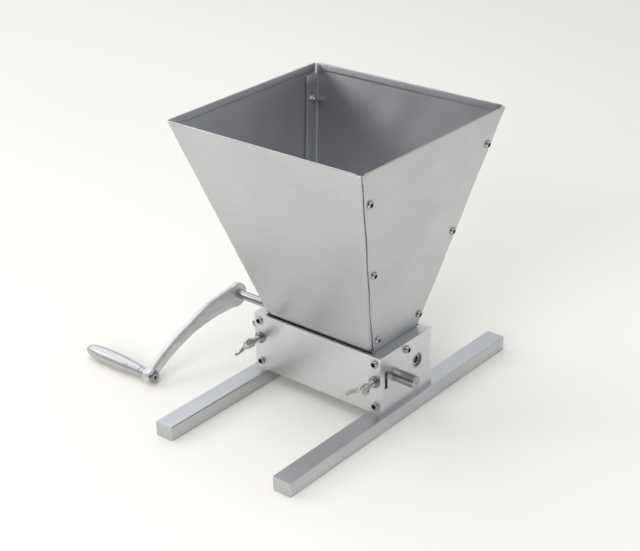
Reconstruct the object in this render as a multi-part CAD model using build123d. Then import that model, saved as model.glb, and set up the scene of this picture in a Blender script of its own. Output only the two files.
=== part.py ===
from build123d import *
import os
from math import cos, hypot, radians, sin, sqrt

# Two-roller hand grain mill: a sheet hopper feeds grain between a cranked roller and an
# adjustable idler roller, which run in a plate body that stands on two long base bars.
# Millimetres. X runs along the rollers, -Y is the front, +Z is up. The origin is the centre
# of the grain outlet, in the plane that the bars stand on.

# ---- driving dimensions -------------------------------------------------------------------
BAR_WIDTH = 20.0
BAR_HEIGHT = 14.0
BAR_X = 70.5                 # bar centre line, left and right of the origin
BAR_FRONT = -168.0
BAR_REAR = 152.0
BAR_CHAMFER = 0.8

BODY_WIDTH = 150.0
BODY_DEPTH = 76.4
BODY_HEIGHT = 58.0
END_PLATE = 12.0             # end plate thickness
FACE_PLATE = 3.0             # front and back plate thickness
PLATE_CHAMFER = 0.5

ROLLER_RADIUS = 16.0
ROLLER_LENGTH = 124.0
ROLLER_GAP = 0.9             # closest setting of the nip, which is the rest position
GAP_TRAVEL = 1.6             # how far the idler roller backs away from that
JOURNAL_RADIUS = 6.0         # drive roller
IDLER_JOURNAL_RADIUS = 6.5
AXIS_Z = 47.0
RUNNING_FIT = 0.05           # radial clearance of a shaft in its bearing
HOLE_ROOM = 0.25             # radial clearance of a screw in its clearance hole
GROOVE_COUNT = 24            # feed grooves round each roller
GROOVE_RADIUS = 0.9

STUB_RADIUS = 6.0            # free ends of the idler shaft
STUB_END = 98.5
LEFT_STUB_END = -94.0
CRANK_SHAFT_RADIUS = 4.5
BUSH_RADIUS = 8.0
WASHER_RADIUS = 9.0
WASHER_THICKNESS = 0.7

SLIDE_BLOCK_HALF = 11.5      # half of the bearing block's depth in Y
SLIDE_BLOCK_HEIGHT = 16.8
SLIDE_CLEARANCE = 0.1
SLOT_FRONT_ROOM = 4.0        # open stretch of the slot in front of the block

THREAD_RADIUS = 3.0          # M6 adjusting screw
BUTTON_RADIUS = 2.8          # captive tip of the screw
BUTTON_THICKNESS = 1.6
NECK_RADIUS = 1.8
BOSS_FLANGE_RADIUS = 5.5
BOSS_RADIUS = 4.1
BOSS_PROUD = 2.5
WING_HUB_START = 12.0        # distance of the wing hub from the front plate
WING_HUB_LENGTH = 9.0
WING_HUB_RADIUS = 4.6
WING_REACH = 13.0
WING_SWEEP = 8.0
WING_THICKNESS = 3.0

SHEET = 1.2                  # hopper sheet thickness
HOPPER_FOOT_Z = 73.6         # lower edge of the sloping panels
HOPPER_TOP_Z = 274.4
FOOT_HALF_X = 63.4
FOOT_HALF_Y = 34.5
TOP_HALF_X = 108.5
TOP_HALF_Y = 101.3
HEM_HEIGHT = 8.0
FLANGE_WIDTH = 17.0
SKIRT_FOOT_Z = 61.0          # front and back skirts, behind the rollers' crowns
SIDE_SKIRT_FOOT_Z = 64.0     # side skirts stop above the rollers
SKIRT_TAB_HALF = 6.0         # a tab of the side skirt dips between the rollers
SKIRT_HALF_X = 62.8
SKIRT_HALF_Y = 32.6
SCREW_HEIGHTS = (0.06, 0.45, 0.84)   # corner screws, as fractions of the panel height
SCREW_EDGE = 8.0             # corner screws, from the side panel's edge

CRANK_X = -151.5             # plane of the crank arm
CRANK_HUB_RADIUS = 12.8
CRANK_HUB_DROP = 2.3         # how far the hub's rounded end is centred below the shaft
CRANK_HUB_THICKNESS = 6.0
EYE_RADIUS = 6.8
EYE_THICKNESS = 9.0
GRIP_Y = -107.0              # grip axis
GRIP_Z = 8.0
GRIP_START = -163.5
GRIP_LENGTH = 76.0
GRIP_BOLT_RADIUS = 3.0

# ---- places worked out from those -----------------------------------------------------------
BODY_TOP = BAR_HEIGHT + BODY_HEIGHT
HALF_WIDTH = BODY_WIDTH / 2
INNER_X = HALF_WIDTH - END_PLATE
FACE_Y = BODY_DEPTH / 2
INNER_Y = FACE_Y - FACE_PLATE
ROLLER_Y = ROLLER_RADIUS + ROLLER_GAP / 2
SCREW_X = HALF_WIDTH - END_PLATE / 2 - 0.5
BLOCK_FRONT = -ROLLER_Y - SLIDE_BLOCK_HALF
BLOCK_REAR = -ROLLER_Y + SLIDE_BLOCK_HALF
HOPPER_RISE = HOPPER_TOP_Z - HOPPER_FOOT_Z
SIDE_SPREAD = TOP_HALF_X - FOOT_HALF_X
FACE_SPREAD = TOP_HALF_Y - FOOT_HALF_Y
BIG = 400.0                  # larger than the whole mill, for cutting blocks


# ---- shapes used in several places ----------------------------------------------------------
def slab(x_range, y_range, z_range):
    """A rectangular block between three pairs of limits."""
    size = [high - low for low, high in (x_range, y_range, z_range)]
    centre = [(high + low) / 2 for low, high in (x_range, y_range, z_range)]
    return Pos(*centre) * Box(*size)


def rod_x(radius, x_from, x_to, y, z):
    """A round rod along X."""
    return Pos((x_from + x_to) / 2, y, z) * Rot(0, 90, 0) * Cylinder(radius, abs(x_to - x_from))


def rod_y(radius, y_from, y_to, x, z):
    """A round rod along Y."""
    return Pos(x, (y_from + y_to) / 2, z) * Rot(90, 0, 0) * Cylinder(radius, abs(y_to - y_from))


def rod_z(radius, z_from, z_to, x, y):
    """A round rod along Z."""
    return Pos(x, y, (z_from + z_to) / 2) * Cylinder(radius, z_to - z_from)


def facing(point, direction):
    """A place whose own Z looks along the given direction."""
    return Location(Plane(origin=point, z_dir=direction))


def break_edges(solid, direction, size):
    """The same solid with the edges that run along one axis chamfered."""
    return chamfer(solid.edges().filter_by(direction), size)


def button_screw(head_radius, head_height, shank_radius, shank_length, socket):
    """A domed socket screw seated at its own origin, with its head towards +Z."""
    dome = Cylinder(head_radius, head_height, align=(Align.CENTER, Align.CENTER, Align.MIN))
    dome = fillet(dome.edges().group_by(Axis.Z)[-1], head_height * 0.7)
    shank = Cylinder(shank_radius, shank_length, align=(Align.CENTER, Align.CENTER, Align.MAX))
    depth = head_height * 0.7
    hexagon = extrude(RegularPolygon(socket / sqrt(3), 6), depth)
    return dome + shank - Pos(0, 0, head_height - depth) * hexagon


def hex_nut(across_flats, height, bore_radius):
    """A hexagon nut that stands on its own origin, towards +Z."""
    nut = extrude(RegularPolygon(across_flats / sqrt(3), 6), height)
    return nut - Cylinder(bore_radius, 3 * height)


def group(solids):
    """Separate solids that belong to one node."""
    return Compound(children=[solid for shape in solids for solid in shape.solids()])


# ---- base bars and body -----------------------------------------------------------------------
BASE_SCREW_Y = 17.0
BASE_HEAD_RADIUS = 5.0
BASE_HEAD_HEIGHT = 3.0
BASE_HEAD_DEPTH = 4.0        # how far up into the bar the heads sit
BASE_SHANK_RADIUS = 2.5
BASE_SHANK_TOP = 30.0
BASE_SOCKET = 3.0            # across the flats of the socket
FACE_SCREW_HEIGHTS = (22.0, 65.0)
FACE_SCREW_RADIUS = 2.5
FACE_SCREW_DEPTH = 14.0
FACE_HEAD_RADIUS = 3.9
FACE_HEAD_HEIGHT = 2.3
FACE_SOCKET = 2.5
HOPPER_SCREW_Z = 65.5
HOPPER_SCREW_RADIUS = 2.5
HOPPER_HEAD_RADIUS = 3.7
HOPPER_HEAD_HEIGHT = 3.4
HOPPER_SOCKET = 2.5


def base_bar(side):
    """A solid bar with counterbored holes for the screws that hold an end plate."""
    x = side * BAR_X
    bar = slab((x - BAR_WIDTH / 2, x + BAR_WIDTH / 2), (BAR_FRONT, BAR_REAR), (0, BAR_HEIGHT))
    bar = break_edges(bar, Axis.Y, BAR_CHAMFER)
    bar = break_edges(bar, Axis.Z, BAR_CHAMFER)
    for y in (-BASE_SCREW_Y, BASE_SCREW_Y):
        bar -= rod_z(BASE_SHANK_RADIUS + HOLE_ROOM, -1, BAR_HEIGHT + 1, x, y)
        bar -= rod_z(BASE_HEAD_RADIUS + HOLE_ROOM, -1, BASE_HEAD_DEPTH, x, y)
    return bar


def base_screws():
    """Countersunk into the undersides of the bars, up into the end plates."""
    screws = []
    for side in (-1, 1):
        for y in (-BASE_SCREW_Y, BASE_SCREW_Y):
            seat = (side * BAR_X, y, BASE_HEAD_DEPTH)
            length = BASE_SHANK_TOP - BASE_HEAD_DEPTH
            screw = button_screw(BASE_HEAD_RADIUS, BASE_HEAD_HEIGHT, BASE_SHANK_RADIUS, length, BASE_SOCKET)
            screws.append(facing(seat, (0, 0, -1)) * screw)
    return group(screws)


def face_screw_places():
    """Where the front and back plates are screwed to the end plates."""
    return [(side * SCREW_X, z) for side in (-1, 1) for z in FACE_SCREW_HEIGHTS]


def end_plate(side):
    """A thick end plate: bush bore at the back, slot for the sliding block at the front."""
    inner, outer = side * INNER_X, side * HALF_WIDTH
    through = (min(inner, outer) - 1, max(inner, outer) + 1)
    plate = slab(sorted((inner, outer)), (-INNER_Y, INNER_Y), (BAR_HEIGHT, BODY_TOP))
    plate -= rod_x(BUSH_RADIUS, *through, ROLLER_Y, AXIS_Z)
    slot_half = SLIDE_BLOCK_HEIGHT / 2 + SLIDE_CLEARANCE
    slot_y = (BLOCK_FRONT - SLOT_FRONT_ROOM, BLOCK_REAR + SLIDE_CLEARANCE)
    plate -= slab(through, slot_y, (AXIS_Z - slot_half, AXIS_Z + slot_half))
    plate -= rod_y(BOSS_RADIUS, -INNER_Y - 1, BLOCK_FRONT - 1, side * SCREW_X, AXIS_Z)
    for x, z in face_screw_places():
        for edge in (-1, 1):
            plate -= rod_y(FACE_SCREW_RADIUS, edge * INNER_Y, edge * (FACE_Y - FACE_SCREW_DEPTH), x, z)
    for y in (-BASE_SCREW_Y, BASE_SCREW_Y):
        plate -= rod_z(BASE_SHANK_RADIUS, BAR_HEIGHT - 1, BASE_SHANK_TOP, side * BAR_X, y)
    plate -= rod_x(HOPPER_SCREW_RADIUS, *through, 0, HOPPER_SCREW_Z)
    return plate


def face_plate(front):
    """A thin plate across both end plates, with clearance holes for its screws."""
    y_limits = sorted((front * INNER_Y, front * FACE_Y))
    plate = slab((-HALF_WIDTH, HALF_WIDTH), y_limits, (BAR_HEIGHT, BODY_TOP))
    plate = break_edges(plate, Axis.Y, PLATE_CHAMFER)
    for x, z in face_screw_places():
        plate -= rod_y(FACE_SCREW_RADIUS + HOLE_ROOM, y_limits[0] - 1, y_limits[1] + 1, x, z)
    if front < 0:
        for side in (-1, 1):
            plate -= rod_y(BOSS_RADIUS, -FACE_Y - 1, -INNER_Y + 1, side * SCREW_X, AXIS_Z)
    return plate


def face_screws(front):
    """The button screws of one face plate."""
    screws = []
    for x, z in face_screw_places():
        length = FACE_SCREW_DEPTH - 0.5
        screw = button_screw(FACE_HEAD_RADIUS, FACE_HEAD_HEIGHT, FACE_SCREW_RADIUS, length, FACE_SOCKET)
        screws.append(facing((x, front * FACE_Y, z), (0, front, 0)) * screw)
    return group(screws)


# ---- rollers and their bearings -----------------------------------------------------------------
CENTRE_HOLE_RADIUS = 3.4
CENTRE_HOLE_DEPTH = 6.0
JOURNAL_RECESS = 1.5
SHAFT_CHAMFER = 0.8
FLAT_DEPTH = 0.8
FLAT_LENGTH = 14.0
HUB_PROUD = 1.0              # how far the crank shaft shows beyond the hub
SHOULDER_PROUD = 0.3         # how far the idler's journals show beyond the end plates


def fluted_barrel(y):
    """The grinding face of a roller, with feed grooves along it."""
    half = ROLLER_LENGTH / 2
    barrel = rod_x(ROLLER_RADIUS, -half, half, y, AXIS_Z)
    for index in range(GROOVE_COUNT):
        angle = radians((index + 0.5) * 360 / GROOVE_COUNT)
        reach = ROLLER_RADIUS + GROOVE_RADIUS / 3
        groove_y = y + reach * cos(angle)
        groove_z = AXIS_Z + reach * sin(angle)
        barrel -= rod_x(GROOVE_RADIUS, -half - 1, half + 1, groove_y, groove_z)
    return barrel


def shaft(radius, x_from, x_to, y):
    """A shaft length with a chamfer round both of its ends."""
    rod = rod_x(radius, x_from, x_to, y, AXIS_Z)
    return chamfer(rod.edges().filter_by(GeomType.CIRCLE), SHAFT_CHAMFER)


def drive_roller():
    """Back roller, one piece with its journals and the long shaft that the crank sits on."""
    right_end = HALF_WIDTH - JOURNAL_RECESS
    left_end = CRANK_X - CRANK_HUB_THICKNESS / 2 - HUB_PROUD
    roller = fluted_barrel(ROLLER_Y)
    roller += shaft(JOURNAL_RADIUS, -HALF_WIDTH - 1, right_end, ROLLER_Y)
    roller += shaft(CRANK_SHAFT_RADIUS, left_end, 0, ROLLER_Y)
    roller -= rod_x(CENTRE_HOLE_RADIUS, right_end - CENTRE_HOLE_DEPTH, right_end + 1, ROLLER_Y, AXIS_Z)
    flat_low = AXIS_Z + CRANK_SHAFT_RADIUS - FLAT_DEPTH
    hub = (left_end - 1, left_end + FLAT_LENGTH)
    return roller - slab(hub, (ROLLER_Y - 6, ROLLER_Y + 6), (flat_low, flat_low + 6))


def idler_roller():
    """Front roller, whose plain shaft stands out of both end plates."""
    roller = fluted_barrel(-ROLLER_Y)
    journal_end = HALF_WIDTH + SHOULDER_PROUD
    roller += rod_x(IDLER_JOURNAL_RADIUS, -journal_end, journal_end, -ROLLER_Y, AXIS_Z)
    return roller + shaft(STUB_RADIUS, LEFT_STUB_END, STUB_END, -ROLLER_Y)


def roller_washers(y, bore_radius):
    """Thrust washers at both ends of a roller."""
    washers = []
    for side in (-1, 1):
        face = side * ROLLER_LENGTH / 2
        limits = sorted((face, face + side * WASHER_THICKNESS))
        ring = rod_x(WASHER_RADIUS, *limits, y, AXIS_Z)
        washers.append(ring - rod_x(bore_radius, *limits, y, AXIS_Z))
    return group(washers)


def drive_bush(side):
    """A plain bush in the bore of an end plate."""
    limits = sorted((side * INNER_X, side * HALF_WIDTH))
    bush = rod_x(BUSH_RADIUS, *limits, ROLLER_Y, AXIS_Z)
    bore = JOURNAL_RADIUS + RUNNING_FIT
    return bush - rod_x(bore, limits[0] - 1, limits[1] + 1, ROLLER_Y, AXIS_Z)


POCKET_DEPTH = 2.0           # from the block's front to the pocket for the captive tip
POCKET_ROOM = 0.4            # free length of the tip in its pocket


def sliding_block(side):
    """Bearing block of the idler roller, with a T slot that holds the adjusting screw's tip."""
    limits = sorted((side * INNER_X, side * HALF_WIDTH))
    half = SLIDE_BLOCK_HEIGHT / 2
    block = slab(limits, (BLOCK_FRONT, BLOCK_REAR), (AXIS_Z - half, AXIS_Z + half))
    block = break_edges(block, Axis.X, PLATE_CHAMFER)
    bore = IDLER_JOURNAL_RADIUS + RUNNING_FIT
    block -= rod_x(bore, limits[0] - 1, limits[1] + 1, -ROLLER_Y, AXIS_Z)
    neck_half = NECK_RADIUS + HOLE_ROOM
    button_half = BUTTON_RADIUS + HOLE_ROOM
    pocket_y = BLOCK_FRONT + POCKET_DEPTH
    reach = sorted((side * (INNER_X - 1), side * (SCREW_X + neck_half)))
    block -= slab(reach, (BLOCK_FRONT - 1, pocket_y), (AXIS_Z - neck_half, AXIS_Z + neck_half))
    reach = sorted((side * (INNER_X - 1), side * (SCREW_X + button_half)))
    pocket = (pocket_y, pocket_y + BUTTON_THICKNESS + POCKET_ROOM)
    return block - slab(reach, pocket, (AXIS_Z - button_half, AXIS_Z + button_half))


# ---- gap adjusting screws -------------------------------------------------------------------------
def adjuster_bosses():
    """Flanged threaded bosses pressed through the front plate, one for each adjusting screw."""
    bosses = []
    for side in (-1, 1):
        x = side * SCREW_X
        boss = rod_y(BOSS_FLANGE_RADIUS, -FACE_Y - BOSS_PROUD, -FACE_Y, x, AXIS_Z)
        boss = chamfer(boss.edges().group_by(Axis.Y)[0], 0.8)
        boss += rod_y(BOSS_RADIUS, -FACE_Y, BLOCK_FRONT - SLOT_FRONT_ROOM, x, AXIS_Z)
        boss -= rod_y(THREAD_RADIUS + RUNNING_FIT, -FACE_Y - 10, -20, x, AXIS_Z)
        bosses.append(boss)
    return group(bosses)


def wing_outline():
    """Half of the wing's outline, in its own X (across) and Y (away from the thread)."""
    root = WING_HUB_RADIUS * 0.5
    top = WING_HUB_LENGTH + WING_SWEEP
    outer = (WING_REACH, top - 4.5)
    inner = (WING_REACH - 3.6, top - 1.5)
    root_top = (root, WING_HUB_LENGTH - 0.8)
    lower = Spline((root, 1.0), (WING_REACH * 0.55, 3.5), outer)
    tip = ThreePointArc(outer, (WING_REACH - 0.2, top - 0.6), inner)
    upper = Spline(inner, (WING_REACH * 0.42, WING_HUB_LENGTH + 0.6), root_top)
    return make_face(lower + tip + upper + Line(root_top, (root, 1.0)))


def wing_screw(side, turn):
    """Adjusting screw: captive tip, thread, hub and two swept wings turned by an angle."""
    tip_y = BLOCK_FRONT + POCKET_DEPTH + BUTTON_THICKNESS + POCKET_ROOM / 2
    thread_y = BLOCK_FRONT - 0.3
    hub_y = -FACE_Y - WING_HUB_START
    x = side * SCREW_X
    screw = rod_y(BUTTON_RADIUS, tip_y, tip_y - BUTTON_THICKNESS, x, AXIS_Z)
    screw += rod_y(NECK_RADIUS, tip_y - BUTTON_THICKNESS, thread_y, x, AXIS_Z)
    screw += rod_y(THREAD_RADIUS, thread_y, hub_y, x, AXIS_Z)
    hub = Cone(WING_HUB_RADIUS, WING_HUB_RADIUS * 0.8, WING_HUB_LENGTH,
               align=(Align.CENTER, Align.CENTER, Align.MIN))
    wing = extrude(wing_outline(), WING_THICKNESS / 2, both=True)
    wings = Rot(90, 0, 0) * wing
    head = hub + wings + Rot(0, 0, 180) * wings
    head_plane = Plane(origin=(x, hub_y, AXIS_Z), x_dir=(cos(radians(turn)), 0, sin(radians(turn))),
                       z_dir=(0, -1, 0))
    return screw + Location(head_plane) * head


# ---- hopper -----------------------------------------------------------------------------------------
def wall_plane(side, depth):
    """Outer plane of a sloping hopper wall, moved inwards; side is +x, -x, +y or -y."""
    sign = -1 if side[0] == "-" else 1
    if side[1] == "x":
        run, foot = SIDE_SPREAD, FOOT_HALF_X
        length = hypot(run, HOPPER_RISE)
        normal = Vector(sign * HOPPER_RISE / length, 0, -run / length)
        point = Vector(sign * foot, 0, HOPPER_FOOT_Z)
    else:
        run, foot = FACE_SPREAD, FOOT_HALF_Y
        length = hypot(run, HOPPER_RISE)
        normal = Vector(0, sign * HOPPER_RISE / length, -run / length)
        point = Vector(0, sign * foot, HOPPER_FOOT_Z)
    return Plane(origin=point - normal * depth, z_dir=normal)


def between(side, outer, inner, z_from, z_to, neighbours):
    """Sheet of one wall between two depths and two heights, trimmed by neighbouring walls."""
    sheet = slab((-BIG, BIG), (-BIG, BIG), (z_from, z_to))
    sheet = split(sheet, wall_plane(side, outer), keep=Keep.BOTTOM)
    sheet = split(sheet, wall_plane(side, inner), keep=Keep.TOP)
    for wall, depth, keep in neighbours:
        sheet = split(sheet, wall_plane(wall, depth), keep=keep)
    return sheet


def corner_screw_places():
    """Point on the outside of each side wall, and that wall's outward direction."""
    places = []
    for side_name, side in (("-x", -1), ("+x", 1)):
        normal = wall_plane(side_name, 0).z_dir
        for height in SCREW_HEIGHTS:
            z = HOPPER_FOOT_Z + height * HOPPER_RISE
            x = side * (FOOT_HALF_X + height * SIDE_SPREAD)
            for front in (-1, 1):
                y = front * (FOOT_HALF_Y + height * FACE_SPREAD - SCREW_EDGE)
                places.append((Vector(x, y, z), normal))
    return places


def drill_corners(panel):
    """The panel with the corner screws' holes through it."""
    for point, normal in corner_screw_places():
        hole = Cylinder(HOPPER_BOLT_RADIUS, 12)
        panel -= facing(point, normal) * hole
    return panel


HOPPER_BOLT_RADIUS = 2.0
HOPPER_BOLT_LENGTH = 7.0
BOLT_HEAD_RADIUS = 3.7
BOLT_HEAD_HEIGHT = 2.2
BOLT_SOCKET = 2.5
BOLT_NUT = (7.0, 3.0)         # across the flats, and height
MOUNT_NUT = (8.0, 2.7)
SEAM_STEP = 0.8              # side panels stop this far short of the face panels' outside


def hopper_face_panel(front):
    """Front or back wall: sloping sheet, top hem, bent flanges behind the side walls, skirt."""
    name = "-y" if front < 0 else "+y"
    sides = [(wall, SHEET, Keep.BOTTOM) for wall in ("-x", "+x")]
    panel = between(name, 0, SHEET, HOPPER_FOOT_Z, HOPPER_TOP_Z, sides)
    panel += between(name, SHEET, 2 * SHEET, HOPPER_TOP_Z - HEM_HEIGHT, HOPPER_TOP_Z,
                     [(wall, 2 * SHEET, Keep.BOTTOM) for wall in ("-x", "+x")])
    for wall in ("-x", "+x"):
        limits = [(name, SHEET, Keep.BOTTOM), (name, FLANGE_WIDTH, Keep.TOP)]
        panel += between(wall, SHEET, 2 * SHEET, HOPPER_FOOT_Z, HOPPER_TOP_Z, limits)
    inset = FOOT_HALF_Y - SKIRT_HALF_Y
    y_limits = sorted((front * SKIRT_HALF_Y, front * (SKIRT_HALF_Y - SHEET)))
    ledge_y = sorted((front * (FOOT_HALF_Y + 0.4), front * (SKIRT_HALF_Y - SHEET)))
    x_half = SKIRT_HALF_X - SHEET - 0.4
    panel += slab((-x_half, x_half), y_limits, (SKIRT_FOOT_Z, HOPPER_FOOT_Z + inset))
    ledge = slab((-x_half, x_half), ledge_y, (HOPPER_FOOT_Z, HOPPER_FOOT_Z + SHEET))
    panel += split(ledge, wall_plane(name, 0), keep=Keep.BOTTOM)
    return drill_corners(panel)


def hopper_side_panel(side):
    """Left or right wall: flat sloping sheet with a top hem and a skirt inside the body."""
    name = "-x" if side < 0 else "+x"
    faces = [(wall, SEAM_STEP, Keep.BOTTOM) for wall in ("-y", "+y")]
    panel = between(name, 0, SHEET, HOPPER_FOOT_Z - 1.2, HOPPER_TOP_Z, faces)
    hem = [(wall, FLANGE_WIDTH + 1, Keep.BOTTOM) for wall in ("-y", "+y")]
    panel += between(name, SHEET, 2 * SHEET, HOPPER_TOP_Z - HEM_HEIGHT, HOPPER_TOP_Z, hem)
    x_limits = sorted((side * SKIRT_HALF_X, side * (SKIRT_HALF_X - SHEET)))
    y_half = SKIRT_HALF_Y - SHEET - 0.4
    panel += slab(x_limits, (-y_half, y_half), (SIDE_SKIRT_FOOT_Z, HOPPER_FOOT_Z))
    panel += slab(x_limits, (-SKIRT_TAB_HALF, SKIRT_TAB_HALF), (SKIRT_FOOT_Z, HOPPER_FOOT_Z))
    panel -= rod_x(HOPPER_SCREW_RADIUS, *sorted((side * 50, side * 80)), 0, HOPPER_SCREW_Z)
    return drill_corners(panel)


def hopper_bolts():
    """Button screws down the four corners, from outside the side walls."""
    bolts = []
    for point, normal in corner_screw_places():
        bolt = button_screw(BOLT_HEAD_RADIUS, BOLT_HEAD_HEIGHT, HOPPER_BOLT_RADIUS, HOPPER_BOLT_LENGTH,
                            BOLT_SOCKET)
        bolts.append(facing(point, normal) * bolt)
    return group(bolts)


def hopper_nuts():
    """Nuts of the corner screws, on the flanges inside the hopper."""
    nuts = []
    for point, normal in corner_screw_places():
        seat = point - normal * (2 * SHEET)
        nuts.append(facing(seat, -normal) * hex_nut(*BOLT_NUT, HOPPER_BOLT_RADIUS))
    return group(nuts)


def mount_screws():
    """Screws through the end plates that hold the hopper's skirt."""
    screws = []
    for side in (-1, 1):
        length = END_PLATE + 5.0
        screw = button_screw(HOPPER_HEAD_RADIUS, HOPPER_HEAD_HEIGHT, HOPPER_SCREW_RADIUS, length,
                             HOPPER_SOCKET)
        screws.append(facing((side * HALF_WIDTH, 0, HOPPER_SCREW_Z), (side, 0, 0)) * screw)
    return group(screws)


def mount_nuts():
    """Thin nuts of those screws, inside the skirt."""
    nuts = []
    for side in (-1, 1):
        seat = (side * (SKIRT_HALF_X - SHEET), 0, HOPPER_SCREW_Z)
        nuts.append(facing(seat, (-side, 0, 0)) * hex_nut(*MOUNT_NUT, HOPPER_SCREW_RADIUS))
    return group(nuts)


# ---- crank ------------------------------------------------------------------------------------------
SET_SCREW_RADIUS = 2.5
SET_SCREW_SINK = 0.6         # how far the set screw stops below the hub's rim
SET_SCREW_SOCKET_RADIUS = 1.4
ARM_STATIONS = (              # place along the arm, width across it, thickness in X
    (0.00, 25.0, 6.0),
    (0.25, 20.5, 6.2),
    (0.50, 14.0, 7.0),
    (0.75, 13.5, 7.5),
    (1.00, 12.5, 8.0),
)


ARM_CORNER = 2.4              # corner radius of the arm's section
ARM_BENDS = ((-16.0, 43.0), (-51.0, 34.8), (-81.0, 22.8))   # the arm's centre line, in Y and Z


def crank_arm():
    """Curved arm that turns from a flat blade at the hub into a round bar at the grip."""
    hub_z = AXIS_Z - CRANK_HUB_DROP
    hub_point = (CRANK_X, ROLLER_Y, hub_z)
    eye_point = (CRANK_X, GRIP_Y, GRIP_Z)
    path = Spline(hub_point, *[(CRANK_X, y, z) for y, z in ARM_BENDS], eye_point)
    sections = []
    for place, width, thickness in ARM_STATIONS:
        plane = Plane(origin=path @ place, x_dir=(1, 0, 0), z_dir=path % place)
        sections.append(plane * RectangleRounded(thickness, width, ARM_CORNER))
    arm = loft(sections)
    half = CRANK_HUB_THICKNESS / 2
    hub = rod_x(CRANK_HUB_RADIUS, CRANK_X - half, CRANK_X + half, ROLLER_Y, hub_z)
    arm += fillet(hub.edges().filter_by(GeomType.CIRCLE), 1.2)
    half = EYE_THICKNESS / 2
    eye = rod_x(EYE_RADIUS, CRANK_X - half, CRANK_X + half, GRIP_Y, GRIP_Z)
    arm += fillet(eye.edges().filter_by(GeomType.CIRCLE), 1.0)
    arm -= rod_x(CRANK_SHAFT_RADIUS, CRANK_X - 20, CRANK_X + 20, ROLLER_Y, AXIS_Z)
    arm -= rod_x(GRIP_BOLT_RADIUS, CRANK_X - 20, CRANK_X + 20, GRIP_Y, GRIP_Z)
    return arm - rod_z(SET_SCREW_RADIUS, AXIS_Z, AXIS_Z + 30, CRANK_X, ROLLER_Y)


def crank_set_screw():
    """Grub screw down through the hub on to the shaft's flat."""
    foot = AXIS_Z + CRANK_SHAFT_RADIUS - FLAT_DEPTH
    top = AXIS_Z - CRANK_HUB_DROP + CRANK_HUB_RADIUS - SET_SCREW_SINK
    screw = rod_z(SET_SCREW_RADIUS, foot, top, CRANK_X, ROLLER_Y)
    socket = extrude(RegularPolygon(SET_SCREW_SOCKET_RADIUS, 6), 6)
    return screw - Pos(CRANK_X, ROLLER_Y, top - 2.4) * socket


BOLT_END = GRIP_START - 58.0
RING_WIDTH = 1.2
RING_X = BOLT_END + 4.0
RING_RADIUS = 4.6
RING_GROOVE_RADIUS = 2.2
COLLAR_RADIUS = 4.9
COLLAR_GAP = 0.4             # between the collar and the grip
GRIP_HEAD_RADIUS = 6.4
GRIP_HEAD_HEIGHT = 3.0
GRIP_SOCKET_RADIUS = 3.0
GRIP_SOCKET_DEPTH = 2.0


def grip_bolt():
    """Bolt through the arm's eye, with a round head inside and a ring groove near its end."""
    inner_face = CRANK_X + EYE_THICKNESS / 2
    head = Cylinder(GRIP_HEAD_RADIUS, GRIP_HEAD_HEIGHT, align=(Align.CENTER, Align.CENTER, Align.MIN))
    head = fillet(head.edges().group_by(Axis.Z)[-1], 1.4)
    socket = extrude(RegularPolygon(GRIP_SOCKET_RADIUS, 6), GRIP_HEAD_HEIGHT)
    head -= Pos(0, 0, GRIP_HEAD_HEIGHT - GRIP_SOCKET_DEPTH) * socket
    bolt = facing((inner_face, GRIP_Y, GRIP_Z), (1, 0, 0)) * head
    bolt += rod_x(GRIP_BOLT_RADIUS, BOLT_END, inner_face, GRIP_Y, GRIP_Z)
    groove = rod_x(RING_RADIUS, RING_X, RING_X + RING_WIDTH, GRIP_Y, GRIP_Z)
    groove -= rod_x(RING_GROOVE_RADIUS, RING_X, RING_X + RING_WIDTH, GRIP_Y, GRIP_Z)
    return bolt - groove


def grip_collar():
    """Threaded collar that locks the bolt to the arm and spaces the grip off it."""
    outer_face = CRANK_X - EYE_THICKNESS / 2
    collar = rod_x(COLLAR_RADIUS, GRIP_START + COLLAR_GAP, outer_face, GRIP_Y, GRIP_Z)
    collar = chamfer(collar.edges().filter_by(GeomType.CIRCLE), 0.6)
    return collar - rod_x(GRIP_BOLT_RADIUS, GRIP_START, outer_face + 1, GRIP_Y, GRIP_Z)


def grip_ring():
    """Snap ring in the bolt's groove, which keeps the grip on."""
    ring = rod_x(RING_RADIUS, RING_X, RING_X + RING_WIDTH, GRIP_Y, GRIP_Z)
    return ring - rod_x(RING_GROOVE_RADIUS, RING_X, RING_X + RING_WIDTH, GRIP_Y, GRIP_Z)


def crank_grip():
    """Turned spindle grip with a blind bore that runs on the bolt."""
    end = GRIP_LENGTH
    outline = Spline((0, 5.2), (0.14 * end, 6.1), (0.48 * end, 7.5), (0.80 * end, 6.9), (0.95 * end, 4.9))
    nose = ThreePointArc((0.95 * end, 4.9), (0.985 * end, 3.6), (end, 1.6))
    closing = Polyline((end, 1.6), (end, 0), (0, 0), (0, 5.2))
    body = revolve(make_face(outline + nose + closing), Axis.X)
    grip = Pos(GRIP_START, GRIP_Y, GRIP_Z) * Rot(0, 180, 0) * body
    bore = GRIP_BOLT_RADIUS + RUNNING_FIT
    grip -= rod_x(bore, BOLT_END - 1, GRIP_START + 1, GRIP_Y, GRIP_Z)
    room = 0.3
    return grip - rod_x(RING_RADIUS + room, RING_X - room, RING_X + RING_WIDTH + room, GRIP_Y, GRIP_Z)


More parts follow.
